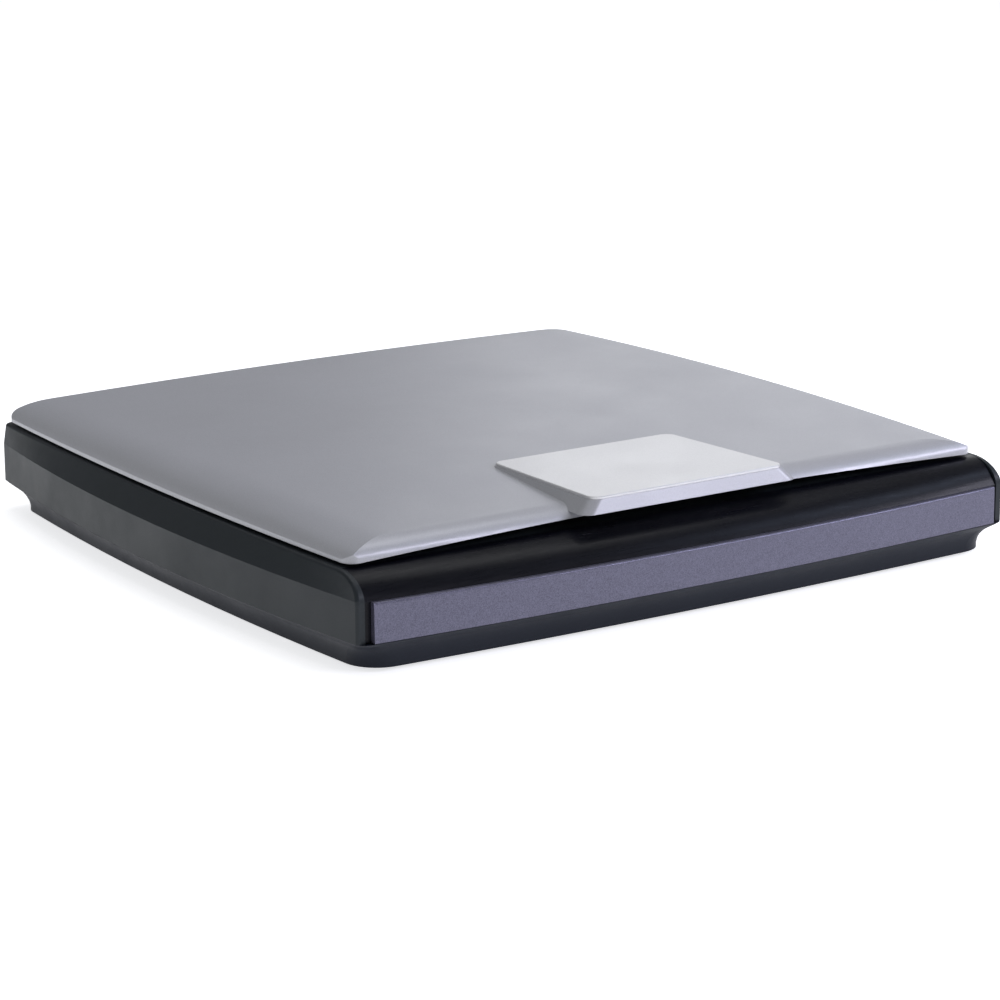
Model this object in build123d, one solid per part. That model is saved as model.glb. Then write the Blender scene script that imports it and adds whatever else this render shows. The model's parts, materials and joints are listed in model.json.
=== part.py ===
from build123d import *
import math
import os

os.makedirs("parts", exist_ok=True)

# Flatbed document scanner with a hinged lid, standing on four rubber feet.
# X runs across the front, +Y to the back, +Z up.  The origin is the middle of
# the bounding box on the table.  All lengths are in millimetres.

# ---------------------------------------------------------------- overall
overall_width = 390.8        # across the bowed side walls
overall_depth = 378.0        # trim band to the back of the hinge sockets
half_width = overall_width / 2
front_y = -overall_depth / 2
back_y = overall_depth / 2

# heights above the table
foot_height = 2.0            # tray underside
seam_z = 15.25               # tray meets the upper housing
ridge_z = 33.85              # top edge of the trim band
crease_z = 34.75             # side walls turn into the shoulder
deck_z = 45.25               # top of the bezel round the platen
lid_edge_z = 46.75           # lower edge of the closed lid

wall = 2.5                   # outer shells
deck_wall = 2.2              # bezel
seam_gap = 0.25              # shadow gap between trim pieces
fit_gap = 0.15               # sliding fits of moulded parts
soft_gap = 0.3               # rest gap below soft or moving pieces
running = 0.05               # radial clearance of pins and rods

# ---------------------------------------------------------------- base plan
side_mid_y = front_y + 174.5
cheek_front_y = front_y + 10.0
side_front_x = half_width - 10.7
side_back_x = half_width - 13.4
back_corner_y = back_y - 11.5
back_bow = 8.0
housing_corner = 4.0
shoulder_run = 8.9           # how far the shoulder leans in at mid length
shoulder_run_front = 1.7
shoulder_run_back = 1.0

# front bevel and trim band
bevel_top_y = front_y + 28.5
bevel_height = 20.0
bevel_depth_end = 20.0
bevel_depth_mid = 28.0
cheek_width = 3.3
cheek_knee_z = crease_z - 1.5
cheek_round = 1.6             # softens the outer edge of each cheek
band_end_gap = 3.2           # black strip between cheek and band
band_corner_y = front_y + 7.5
band_draft_mid = 1.1
band_round = 1.0

# tray
tray_side_front_x = half_width - 15.9
tray_side_mid_x = half_width - 10.0
tray_side_back_x = half_width - 18.9
tray_front_y = front_y + 12.5
tray_front_bow = 5.0
tray_back_y = back_corner_y - 10.0
tray_corner = 17.0
tray_floor = 2.5

# ---------------------------------------------------------------- platen
window_x = 299.0             # A4 long side plus a margin
window_y = 218.0             # A4 short side plus a margin
window_centre_y = front_y + 159.5
window_front_y = window_centre_y - window_y / 2
window_back_y = window_centre_y + window_y / 2
glass_thick = 3.0
glass_lap = 11.0
tape_thick = 0.4
tape_width = 8.0
glass_top_z = deck_z - deck_wall - tape_thick
glass_low_z = glass_top_z - glass_thick

# ---------------------------------------------------------------- carriage
carriage_x = window_x + 3.0
carriage_y = 60.0
carriage_home_y = window_back_y + 8.5
carriage_travel = window_y + 10.0
carriage_low_z = 9.0
carriage_top_z = glass_low_z - 2.6
carriage_wall = 2.0
cover_thick = 1.6
arm_y = 38.0
arm_half_x = 7.4

rod_radius = 4.0
rod_x = -(carriage_x / 2 + 5.5)
rod_z = 20.0
rod_front_y = carriage_home_y - carriage_travel - 31.5
rod_back_y = carriage_home_y + 26.0
bushing_radius = 6.0
clip_width = 5.0
clip_half = 5.0

rail_x = carriage_x / 2 + 9.0
rail_width = 8.0
rail_top_z = 15.7

# ---------------------------------------------------------------- drive
gear_module = 0.8
gear_teeth = 33
pinion_teeth = 14
gear_face = 3.5
gear_backlash = 0.10
gear_radius = gear_module * gear_teeth / 2
pinion_radius = gear_module * pinion_teeth / 2
pulley_radius = 6.4
belt_thick = 0.8
belt_width = 6.0
belt_x = rod_x - 13.8
belt_loop = pulley_radius + soft_gap
gear_x = belt_x + belt_width / 2 + 1.0
drive_y = carriage_home_y + 40.0
drive_z = rod_z
idler_y = rod_front_y + 8.5
idler_fork_half = belt_width / 2 + 1.6
idler_cheek = 1.2
motor_y = drive_y + gear_radius + pinion_radius
motor_radius = 15.0
motor_length = 22.0
pin_radius = 1.5
shaft_radius = 1.0
bracket_thick = 1.5
bracket_x = gear_x + gear_face + 1.0

# ---------------------------------------------------------------- board
board_x0 = -60.0
board_x1 = 140.0
board_y0 = drive_y - 7.0
board_y1 = drive_y + 34.0
board_z = 18.4
board_thick = 1.6
port_x = 14.0
jack_x = 50.0
tunnel_half_x = 34.0
tunnel_centre_x = (port_x + jack_x) / 2
tunnel_low_z = board_z - 0.4
tunnel_high_z = board_z + 18.0

# ---------------------------------------------------------------- lid
lid_front_y = front_y + 25.5
lid_back_y = back_y - 14.5
lid_back_bow = 5.0
lid_corner_x = half_width - 15.4
lid_side_bow = 5.4
lid_low_rise = 8.0           # crown height above the edge, front and back
lid_crown = 2.8              # extra height in the middle
lid_cross_crown = 0.8
lid_round_x = 26.0           # soft shoulder along the two sides
lid_lip = 0.5
lid_trim = 0.3               # side wall cut just inside the ellipse's end
lid_corner = 7.0
lid_wall = 2.4
lid_arch = 3.8               # front edge lifts in the middle
lid_front_run = 13.0         # soft shoulder along the front
lid_front_lip = 1.0          # upright part below that shoulder
lid_mid_y = (lid_front_y + lid_back_y) / 2
lid_half_y = (lid_back_y - lid_front_y) / 2

handle_half_front = 56.0
handle_half_back = 52.5
handle_back_y = lid_front_y + 80.0
handle_front_y = lid_front_y - 8.0
handle_top_z = lid_edge_z + 13.6
handle_low_z = lid_edge_z + 6.2
handle_corner = 6.0
handle_flare_x = 6.0         # the skirt spreads below the plate
handle_flare_y = 2.0
handle_tilt = 0.9            # degrees down towards the back
plate_thick = 1.3
plate_reveal = 0.5

panel_low_z = lid_edge_z + 1.5
panel_thick = 1.8
pad_inset = 1.5
sheet_thick = 0.4

# ---------------------------------------------------------------- hinge
hinge_x = half_width - 85.4
hinge_y = back_y - 6.5
hinge_z = lid_edge_z + 2.75
knuckle_radius = 3.6
post_width = 22.0
post_thick = 5.0
post_low_z = 20.0
socket_wall = 3.7
ear_thick = 4.0
ear_gap = 0.3
boss_low_z = 17.0


# ================================================================ helpers
def save(name, *solids):
    """Write one node; identical or grouped pieces stay separate solids."""
    shapes = []
    for item in solids:
        shapes.extend(item.solids())
    shape = shapes[0] if len(shapes) == 1 else Compound(children=shapes)
    export_step(shape, f"parts/{name}.step")


def block(x0, x1, y0, y1, z0, z1):
    """Box given by its limits."""
    return Pos((x0 + x1) / 2, (y0 + y1) / 2, (z0 + z1) / 2) * Box(x1 - x0, y1 - y0, z1 - z0)


def post(x, y, z0, z1, radius):
    """Upright cylinder."""
    return Pos(x, y, (z0 + z1) / 2) * Cylinder(radius, z1 - z0)


def rod_x_dir(x0, x1, y, z, radius):
    """Cylinder along X."""
    return Pos((x0 + x1) / 2, y, z) * Rot(0, 90, 0) * Cylinder(radius, x1 - x0)


def rod_y_dir(x, y0, y1, z, radius):
    """Cylinder along Y."""
    return Pos(x, (y0 + y1) / 2, z) * Rot(90, 0, 0) * Cylinder(radius, y1 - y0)


def bowed_face(z, x_front, x_mid, x_back, y_mid, y_front, y_back, bow_front, bow_back, corner):
    """Plan face at height z, with four shallow arcs for sides and round corners."""
    front_left = (-x_front, y_front)
    front_right = (x_front, y_front)
    back_right = (x_back, y_back)
    back_left = (-x_back, y_back)
    if bow_front:
        front = ThreePointArc(front_left, (0, y_front - bow_front), front_right)
    else:
        front = Line(front_left, front_right)
    edges = [
        front,
        ThreePointArc(front_right, (x_mid, y_mid), back_right),
        ThreePointArc(back_right, (0, y_back + bow_back), back_left),
        ThreePointArc(back_left, (-x_mid, y_mid), front_left),
    ]
    face = fillet(make_face(edges).vertices(), corner)
    return Pos(0, 0, z) * face


def yz_plane(x):
    """Sketch plane across X: sketch x is Y, sketch y is Z."""
    return Plane(origin=(x, 0, 0), x_dir=(0, 1, 0), z_dir=(1, 0, 0))


def xz_plane(y):
    """Sketch plane across Y: sketch x is X, sketch y is Z."""
    return Plane(origin=(0, y, 0), x_dir=(1, 0, 0), z_dir=(0, -1, 0))


def screw(x, y, z_head, length, head_radius=3.0, shank_radius=1.4, down=True):
    """Pan-head screw whose head rests on z_head and whose shank runs down (or up)."""
    head_height = 1.8
    way = 1 if down else -1
    head = Pos(x, y, z_head + way * head_height / 2) * Cylinder(head_radius, head_height)
    shank = Pos(x, y, z_head - way * length / 2) * Cylinder(shank_radius, length)
    slot_z = z_head + way * head_height
    cross = Pos(x, y, slot_z) * (Box(3.2, 0.8, 1.6) + Box(0.8, 3.2, 1.6))
    return head + shank - cross


# ================================================================ base shells
def tray_level(z, share, inset):
    """Plan of the tray: share 0 is its foot, share 1 the flared rim."""
    def blend(low, high):
        return low + (high - low) * share
    return bowed_face(
        z,
        blend(tray_side_front_x, side_front_x) - inset,
        blend(tray_side_mid_x, half_width) - inset,
        blend(tray_side_back_x, side_back_x) - inset,
        side_mid_y,
        blend(tray_front_y, band_corner_y) + inset,
        blend(tray_back_y, back_corner_y) - inset,
        blend(tray_front_bow, front_bow_low),
        back_bow,
        blend(tray_corner, housing_corner + 2.0),
    )


front_bow_low = band_corner_y - front_y - band_draft_mid


def tray_form(inset):
    """Solid tray: near-upright foot that flares in a cove to the seam."""
    height = seam_z - foot_height
    levels = [0.0, 0.3, 0.55, 0.78, 1.0]
    faces = [tray_level(foot_height + s * height, s ** 3, inset) for s in levels]
    return loft(faces)


case_screw_points = [
    (-(tray_side_mid_x - 6.2), window_front_y + 28.0),
    (tray_side_mid_x - 6.2, window_front_y + 28.0),
    (-(tray_side_mid_x - 6.2), window_back_y - 20.0),
    (tray_side_mid_x - 6.2, window_back_y - 20.0),
    (board_x0 - 35.0, drive_y + 24.0),
    (board_x1 + 12.0, drive_y - 2.0),
]
boss_radius = 3.8
boss_top_z = seam_z - 1.0
screw_bore = 1.5
counterbore_radius = 3.4
counterbore_depth = 3.6

foot_points = [
    (side * (tray_side_front_x - 26.0), y)
    for side in (-1, 1)
    for y in (tray_front_y + 27.0, tray_back_y - 22.0)
]
foot_radius = 8.0
foot_recess = 1.0

board_post_points = [
    (board_x0 + 5.0, board_y0 + 5.0),
    (board_x1 - 5.0, board_y0 + 5.0),
    (board_x0 + 5.0, board_y1 - 5.0),
    (board_x1 - 5.0, board_y1 - 5.0),
]
floor_z = foot_height + tray_floor


def bottom_tray():
    tray = tray_form(0.0) - Pos(0, 0, tray_floor) * tray_form(wall)
    for x, y in case_screw_points:
        tray += post(x, y, floor_z - 0.5, boss_top_z, boss_radius)
        tray -= post(x, y, foot_height - 1, boss_top_z + 1, screw_bore)
        tray -= post(x, y, foot_height - 1, foot_height + counterbore_depth, counterbore_radius)
    for x, y in foot_points:
        tray -= post(x, y, foot_height - 1, foot_height + foot_recess, foot_radius)
    for x, y in board_post_points:
        tray += post(x, y, floor_z - 0.5, board_z, 3.5)
        tray -= post(x, y, board_z - 8.0, board_z + 1, 1.2)
    rail_y0 = rod_front_y + 2.0
    rail_y1 = rod_back_y
    tray += block(rail_x - 1.5, rail_x + 1.5, rail_y0, rail_y1, floor_z - 0.5, rail_top_z - 2.0)
    for y in rod_clip_ys:
        tray += block(rod_x - clip_half, rod_x + clip_half, y - clip_width / 2, y + clip_width / 2,
                      floor_z - 0.5, rod_z - 6.0)
    return tray


rod_clip_ys = (rod_front_y + 3.5, rod_back_y - 3.5)


def housing_level(z, lean, inset):
    """Plan of the upper housing; lean 0 is the wall, 1 the top of the shoulder."""
    return bowed_face(
        z,
        side_front_x - lean * shoulder_run_front - inset,
        half_width - lean * shoulder_run - inset,
        side_back_x - lean * shoulder_run_back - inset,
        side_mid_y,
        cheek_front_y - 6.0 + inset,
        back_corner_y - lean * shoulder_run_back - inset,
        0.5,
        back_bow,
        housing_corner,
    )


def housing_form(inset, top_z):
    """Bowed walls up to the crease, then a shoulder that leans in to the bezel."""
    walls = extrude(housing_level(seam_z, 0.0, inset), crease_z - seam_z)
    shoulder = loft([housing_level(crease_z, 0.0, inset), housing_level(top_z, 1.0, inset)],
                    ruled=True)
    return walls + shoulder


def cheek_profile(inset):
    """Side view that rounds the front of both cheeks in a quarter ellipse."""
    far = back_y + 30.0
    low = seam_z - 5.0
    top = deck_z - inset * deck_wall / wall
    run = bevel_top_y - cheek_front_y - inset
    brow = EllipticalCenterArc((bevel_top_y, cheek_knee_z), run, top - cheek_knee_z, 90, arc_size=90)
    edges = [
        brow,
        Line(brow @ 1, (cheek_front_y + inset, low)),
        Line((cheek_front_y + inset, low), (far, low)),
        Line((far, low), (far, top)),
        Line((far, top), brow @ 0),
    ]
    return extrude(yz_plane(-half_width - 10) * make_face(edges), overall_width + 20)


def upper_housing():
    outer = housing_form(0.0, deck_z) & cheek_profile(0.0)
    cheek_edges = outer.edges().filter_by(
        lambda e: e.center().Y < bevel_top_y and abs(e.center().X) > fascia_half
        and e.center().Z > seam_z + 1.0 and e.bounding_box().size.Z > 2.0)
    outer = fillet(cheek_edges, cheek_round)
    inner = housing_form(wall, deck_z - deck_wall) & cheek_profile(wall)
    shell = outer - inner
    shell -= block(-half_width, half_width, back_y - 60, back_y + 5, seam_z - 6, seam_z)
    # front opening for the glossy bevel
    opening_half = side_front_x - cheek_width
    shell -= block(-opening_half, opening_half, front_y - 5, bevel_top_y, seam_z - 1, deck_z + 1)
    # platen window with a softened upper edge
    window = extrude(Pos(0, window_centre_y, deck_z - deck_wall - 1)
                     * RectangleRounded(window_x, window_y, 2.0), deck_wall + 2)
    shell -= window
    rim = shell.edges().filter_by(lambda e: abs(e.center().Z - deck_z) < 0.01
                                  and abs(e.center().X) < window_x / 2 + 0.1
                                  and window_front_y - 0.1 < e.center().Y < window_back_y + 0.1)
    shell = chamfer(rim, 0.6)
    # hinge sockets
    for side in (-1, 1):
        x = side * hinge_x
        boss = block(x - post_width / 2 - socket_wall, x + post_width / 2 + socket_wall,
                     back_corner_y - 4.0, back_y, boss_low_z, deck_z - 0.6)
        boss = fillet(boss.edges().filter_by(Axis.Z).group_by(Axis.Y)[-1], 3.0)
        shell += boss
        shell -= block(x - post_width / 2 - fit_gap, x + post_width / 2 + fit_gap,
                       hinge_y - post_thick / 2 - fit_gap, hinge_y + post_thick / 2 + fit_gap,
                       boss_low_z + 2.0, deck_z + 5)
    # recessed port bay in the back wall
    x0 = tunnel_centre_x - tunnel_half_x
    x1 = tunnel_centre_x + tunnel_half_x
    bay = block(x0 - 2, x1 + 2, board_y1 + 1.0, back_y, tunnel_low_z - 2, tunnel_high_z + 2)
    shell += bay & outer
    shell -= block(x0, x1, board_y1 + 3.0, back_y + 20, tunnel_low_z, tunnel_high_z)
    shell -= block(port_x - 6.2, port_x + 6.2, board_y1, board_y1 + 4, board_z + 1.4, board_z + 13.0)
    shell -= rod_y_dir(jack_x, board_y1, board_y1 + 4, board_z + 8.0, 4.6)
    # screw posts
    for x, y in case_screw_points:
        shell += post(x, y, boss_top_z, deck_z - deck_wall + 0.5, boss_radius - 0.6)
        shell -= post(x, y, boss_top_z - 1, boss_top_z + 9.0, 1.2)
    return shell


def fascia_section(x, depth):
    """Side section of the bevel: quarter ellipse down to the band, then upright."""
    centre_z = deck_z - bevel_height
    angle = math.asin((ridge_z - centre_z) / bevel_height)
    foot_y = bevel_top_y - depth * math.cos(angle)
    low_z = seam_z + seam_gap
    outer = EllipticalCenterArc((bevel_top_y, centre_z), depth, bevel_height, 90,
                                arc_size=90 - math.degrees(angle))
    inner_depth = depth - wall
    inner_height = bevel_height - wall
    inner_angle = math.acos((bevel_top_y - foot_y - wall) / inner_depth)
    inner = EllipticalCenterArc((bevel_top_y, centre_z), inner_depth, inner_height, 90,
                                arc_size=90 - math.degrees(inner_angle))
    edges = [
        outer,
        Line(outer @ 1, (foot_y, low_z)),
        Line((foot_y, low_z), (foot_y + wall, low_z)),
        Line((foot_y + wall, low_z), inner @ 1),
        inner,
        Line(inner @ 0, outer @ 0),
    ]
    return yz_plane(x) * make_face(edges)


fascia_half = side_front_x - cheek_width - seam_gap


def front_fascia():
    sections = [fascia_section(-fascia_half, bevel_depth_end),
                fascia_section(0.0, bevel_depth_mid),
                fascia_section(fascia_half, bevel_depth_end)]
    return loft(sections)


def fascia_foot_y(x):
    """Front face of the upright part of the fascia at x."""
    share = 1 - (x / fascia_half) ** 2
    depth = bevel_depth_end + (bevel_depth_mid - bevel_depth_end) * share
    angle = math.asin((ridge_z - deck_z + bevel_height) / bevel_height)
    return bevel_top_y - depth * math.cos(angle)


band_half = side_front_x - cheek_width - band_end_gap


def band_level(z, corner_y, mid_y):
    """Plan of the trim band at height z."""
    gap = 0.1
    inner_end = fascia_foot_y(band_half) - gap
    inner_mid = fascia_foot_y(0) - gap - 0.15
    edges = [
        ThreePointArc((-band_half, corner_y), (0, mid_y), (band_half, corner_y)),
        Line((band_half, corner_y), (band_half, inner_end)),
        ThreePointArc((band_half, inner_end), (0, inner_mid), (-band_half, inner_end)),
        Line((-band_half, inner_end), (-band_half, corner_y)),
    ]
    return Pos(0, 0, z) * make_face(edges)


def front_trim_band():
    low = band_level(seam_z + seam_gap, band_corner_y - 0.3, front_y + band_draft_mid)
    high = band_level(ridge_z, band_corner_y, front_y)
    band = loft([low, high], ruled=True)
    top_edge = band.edges().group_by(Axis.Z)[-1].sort_by(Axis.Y)[0]
    return fillet(top_edge, band_round)


# ================================================================ platen
def platen_glass():
    sheet = Pos(0, window_centre_y, glass_low_z + glass_thick / 2) * Box(
        window_x + 2 * glass_lap, window_y + 2 * glass_lap, glass_thick)
    return chamfer(sheet.edges().filter_by(Axis.Z), 1.0)


def glass_tape():
    outer = Box(window_x + 2 * glass_lap - 2, window_y + 2 * glass_lap - 2, tape_thick)
    inner = Box(window_x + 2 * glass_lap - 2 - 2 * tape_width,
                window_y + 2 * glass_lap - 2 - 2 * tape_width, tape_thick + 1)
    return Pos(0, window_centre_y, glass_top_z + tape_thick / 2) * (outer - inner)


def calibration_strip():
    y = window_back_y + 5.5
    return block(-window_x / 2, window_x / 2, y - 4.5, y + 4.5, glass_low_z - 0.3, glass_low_z)


# ================================================================ guides
def guide_rod():
    rod = rod_y_dir(rod_x, rod_front_y, rod_back_y, rod_z, rod_radius)
    return chamfer(rod.edges(), 0.5)


def rod_clips():
    clips = []
    for y in rod_clip_ys:
        clip = block(rod_x - clip_half, rod_x + clip_half, y - clip_width / 2, y + clip_width / 2,
                     rod_z - 6.0, rod_z + 6.0)
        clip -= rod_y_dir(rod_x, y - clip_width, y + clip_width, rod_z, rod_radius)
        clip -= block(rod_x - 2.6, rod_x + 2.6, y - clip_width, y + clip_width, rod_z, rod_z + 8)
        clips.append(clip)
    return clips


def slide_rail():
    return block(rail_x - rail_width / 2, rail_x + rail_width / 2, rod_front_y + 2.0, rod_back_y,
                 rail_top_z - 2.0, rail_top_z)


# ================================================================ drive
def involute_point(base, radius, offset, side):
    """Point of an involute flank at a radius; offset is the half tooth angle at the base."""
    roll = math.acos(base / radius)
    turn = math.tan(roll) - roll
    angle = side * (offset - turn)
    return (radius * math.cos(angle), radius * math.sin(angle))


def spur_gear(teeth, thickness, bore, hub_radius, hub_length, phase):
    """Involute gear on the Z axis with a hub above it; phase turns a tooth from +X."""
    pressure = math.radians(20)
    pitch = gear_module * teeth / 2
    base = pitch * math.cos(pressure)
    tip = pitch + 0.875 * gear_module
    root = pitch - 1.25 * gear_module
    inv_pitch = math.tan(pressure) - pressure
    offset = math.pi / (2 * teeth) - gear_backlash / (2 * pitch) + inv_pitch
    start = max(base, root + 0.01)
    radii = [start + (tip - start) * s for s in (0.0, 0.33, 0.66, 1.0)]
    points = []
    for index in range(teeth):
        turn = 2 * math.pi * index / teeth + phase
        flank = [involute_point(base, r, offset, -1) for r in radii]
        flank = [(root * math.cos(-offset), root * math.sin(-offset))] + flank
        mirrored = [(x, -y) for x, y in reversed(flank)]
        for x, y in flank + mirrored:
            points.append((x * math.cos(turn) - y * math.sin(turn),
                           x * math.sin(turn) + y * math.cos(turn)))
    wheel = extrude(make_face(Polyline(*points, close=True)), thickness)
    if hub_length:
        wheel += Pos(0, 0, thickness) * Cylinder(
            hub_radius, hub_length, align=(Align.CENTER, Align.CENTER, Align.MIN))
    bore_tool = Cylinder(bore, 60)
    return wheel - bore_tool


# Gears are drawn on Z and laid along -X, so that sketch +Y stays row +Y.
def lay_on_x(shape, x, y, z):
    return Pos(x, y, z) * Rot(0, -90, 0) * shape


def drive_gear():
    gear = spur_gear(gear_teeth, gear_face, pin_radius + running, 0, 0, math.pi / 2)
    flange = Pos(0, 0, gear_face) * Cylinder(pulley_radius + 2.0, 0.8,
                                              align=(Align.CENTER, Align.CENTER, Align.MIN))
    drum = Pos(0, 0, gear_face) * pulley_drum(belt_width + 2.0)
    web = Cylinder(gear_radius - 2.5, 2.0) - Cylinder(pulley_radius + 2.5, 2.0)
    gear = gear + flange + drum - web
    gear -= Cylinder(pin_radius + running, 60)
    return lay_on_x(gear, gear_x + gear_face, drive_y, drive_z)


def pulley_drum(length):
    """Toothed drum of a belt pulley, on Z."""
    drum = Cylinder(pulley_radius, length, align=(Align.CENTER, Align.CENTER, Align.MIN))
    groove_count = 16
    for index in range(groove_count):
        angle = 360.0 * index / groove_count
        drum -= Rot(0, 0, angle) * Pos(pulley_radius, 0, length / 2) * Cylinder(0.55, length + 2)
    return drum


def motor_pinion():
    phase = math.pi / 2 + math.pi / pinion_teeth
    pinion = spur_gear(pinion_teeth, gear_face + 1.0, shaft_radius, 3.0, 1.5, phase)
    return lay_on_x(pinion, gear_x + gear_face + 0.5, motor_y, drive_z)


def motor_shaft():
    return rod_x_dir(gear_x - 2.0, bracket_x + bracket_thick + 12.0, motor_y, drive_z, shaft_radius)


def drive_motor():
    x0 = bracket_x + bracket_thick
    can = rod_x_dir(x0, x0 + motor_length, motor_y, drive_z, motor_radius)
    can = fillet(can.edges().sort_by(Axis.X)[-1], 1.5)
    band = rod_x_dir(x0 + motor_length / 2 - 0.6, x0 + motor_length / 2 + 0.6, motor_y, drive_z,
                     motor_radius + 1)
    groove = band - rod_x_dir(x0, x0 + motor_length, motor_y, drive_z, motor_radius - 0.5)
    plug = block(x0 + 5.0, x0 + 17.0, motor_y + motor_radius - 3.0, motor_y + motor_radius + 1.5,
                 drive_z - 5.0, drive_z + 5.0)
    can = can - groove + plug
    return can - rod_x_dir(x0 - 1, x0 + 13.5, motor_y, drive_z, shaft_radius + running)


def drive_bracket():
    x0 = bracket_x
    plate = block(x0, x0 + bracket_thick, drive_y - 5.0, motor_y + motor_radius + 0.5,
                  floor_z, drive_z + motor_radius - 1.0)
    foot = block(x0, x0 + 16.0, drive_y - 5.0, motor_y - motor_radius - 0.5,
                 floor_z, floor_z + bracket_thick)
    plate = plate + foot
    plate -= rod_x_dir(x0 - 1, x0 + 3, motor_y, drive_z, 4.2)
    plate -= rod_x_dir(x0 - 1, x0 + 3, drive_y, drive_z, pin_radius)
    return plate


def gear_pin():
    pin = rod_x_dir(belt_x - belt_width / 2 - 2.6, bracket_x + bracket_thick, drive_y, drive_z, pin_radius)
    head = rod_x_dir(bracket_x + bracket_thick, bracket_x + bracket_thick + 1.0, drive_y, drive_z, 2.6)
    return pin + head


def belt_profile(radius):
    """Closed stadium round both pulleys, in the YZ view."""
    half = radius
    edges = [
        Line((idler_y, drive_z + half), (drive_y, drive_z + half)),
        CenterArc((drive_y, drive_z), half, 90, -180),
        Line((drive_y, drive_z - half), (idler_y, drive_z - half)),
        CenterArc((idler_y, drive_z), half, -90, -180),
    ]
    return make_face(edges)


def drive_belt():
    ring = belt_profile(belt_loop + belt_thick) - belt_profile(belt_loop)
    return extrude(yz_plane(belt_x - belt_width / 2) * ring, belt_width)


def idler_pulley():
    length = belt_width + 1.0
    drum = pulley_drum(length)
    for z in (-0.8, length):
        drum += Pos(0, 0, z) * Cylinder(pulley_radius + 2.0, 0.8,
                                         align=(Align.CENTER, Align.CENTER, Align.MIN))
    drum -= Cylinder(pin_radius + running, 60)
    return lay_on_x(drum, belt_x + length / 2, idler_y, drive_z)


def idler_bracket():
    """Fork that carries the idler pin, with a foot on the tray floor."""
    inner = idler_fork_half
    fork = None
    for side in (-1, 1):
        x0 = belt_x + side * inner
        x1 = x0 + side * idler_cheek
        cheek = block(min(x0, x1), max(x0, x1), idler_y - 2.2, idler_y + 12.0, floor_z, drive_z + 3.5)
        fork = cheek if fork is None else fork + cheek
    fork += block(belt_x - inner, belt_x + inner, idler_y - 2.2, idler_y + 12.0, floor_z, floor_z + 1.2)
    fork -= rod_x_dir(belt_x - 12, belt_x + 12, idler_y, drive_z, pin_radius)
    return fork


def idler_pin():
    inner = idler_fork_half + idler_cheek
    pin = rod_x_dir(belt_x - inner, belt_x + inner, idler_y, drive_z, pin_radius)
    return pin


# ================================================================ electronics
def main_board():
    board = block(board_x0, board_x1, board_y0, board_y1, board_z, board_z + board_thick)
    for x, y in board_post_points:
        board -= post(x, y, board_z - 1, board_z + 3, 1.6)
    return board


def board_components():
    top = board_z + board_thick
    chips = []
    chips.append(block(-20, 0, board_y0 + 8, board_y0 + 28, top, top + 2.0))
    chips.append(block(12, 30, board_y0 + 10, board_y0 + 18, top, top + 1.4))
    chips.append(block(12, 30, board_y0 + 20, board_y0 + 26, top, top + 1.4))
    chips.append(block(-46, -34, board_y0 + 16, board_y0 + 24, top, top + 1.6))
    for index in range(3):
        chips.append(post(112.0 + 8.0 * index, board_y0 + 22.0, top, top + 9.0, 3.0))
    chips.append(block(-52, -42, board_y0 + 30, board_y0 + 36, top, top + 6.0))
    return chips


def ribbon_connector():
    top = board_z + board_thick
    return block(ribbon_x - 13, ribbon_x + 13, board_y0 + 1.0, board_y0 + 6.0, top, top + 4.0)


def usb_port():
    """Square-bodied data socket; the mouth faces the back of the machine."""
    top = board_z + board_thick
    y0 = board_y1 - 14.0
    y1 = board_y1 + 2.8
    shell = block(port_x - 6.0, port_x + 6.0, y0, y1, top, top + 11.0)
    shell -= block(port_x - 4.3, port_x + 4.3, y0 + 4, y1 + 1, top + 1.4, top + 9.4)
    tongue = block(port_x - 2.8, port_x + 2.8, y0 + 4, y1 - 2, top + 3.9, top + 6.9)
    return shell + tongue


def power_jack():
    top = board_z + board_thick
    y0 = board_y1 - 12.0
    y1 = board_y1 + 2.8
    body = block(jack_x - 4.5, jack_x + 4.5, y0, board_y1 + 0.8, top, top + 11.0)
    body += rod_y_dir(jack_x, board_y1, y1, board_z + 8.0, 4.2)
    body -= rod_y_dir(jack_x, y0 + 3, y1 + 1, board_z + 8.0, 3.1)
    body += rod_y_dir(jack_x, y0 + 2, y1 - 1.5, board_z + 8.0, 1.0)
    return body


def home_sensor():
    """Small slotted light gate that the carriage flag enters at home."""
    x = 40.0
    y = carriage_home_y + carriage_y / 2 + 4.0
    base = block(x - 6, x + 6, y - 2.8, y + 2.8, floor_z, floor_z + 3)
    base += block(x - 6, x - 2.5, y - 2.8, y + 2.8, floor_z, floor_z + 11)
    base += block(x + 2.5, x + 6, y - 2.8, y + 2.8, floor_z, floor_z + 11)
    return base


ribbon_x = 100.0
ribbon_width = 20.0
ribbon_thick = 0.3


def carriage_ribbon():
    """Flat cable: from the board down to the floor, forward, round a fold and back."""
    fold_y = carriage_home_y - carriage_travel / 2
    low = floor_z + 0.5
    high = carriage_low_z - 0.6
    radius = (high - low) / 2
    drop_y = board_y0 - 2.0
    path = FilletPolyline(
        (board_y0 + 1.0, board_z + board_thick + 2.0), (drop_y, board_z + board_thick + 2.0),
        (drop_y, low), (fold_y, low), radius=1.4)
    bend = ThreePointArc((fold_y, low), (fold_y - radius, low + radius), (fold_y, high))
    back = Line((fold_y, high), (carriage_home_y - 4.0, high))
    strip = None
    for piece in (path, bend, back):
        band = trace(piece, line_width=ribbon_thick)
        solid = extrude(yz_plane(ribbon_x - ribbon_width / 2) * band, ribbon_width)
        strip = solid if strip is None else strip + solid
    return strip


def rubber_feet():
    feet = []
    for x, y in foot_points:
        foot = post(x, y, 0, foot_height + foot_recess, foot_radius - 0.2)
        feet.append(chamfer(foot.edges().sort_by(Axis.Z)[0], 0.6))
    return feet


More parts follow.
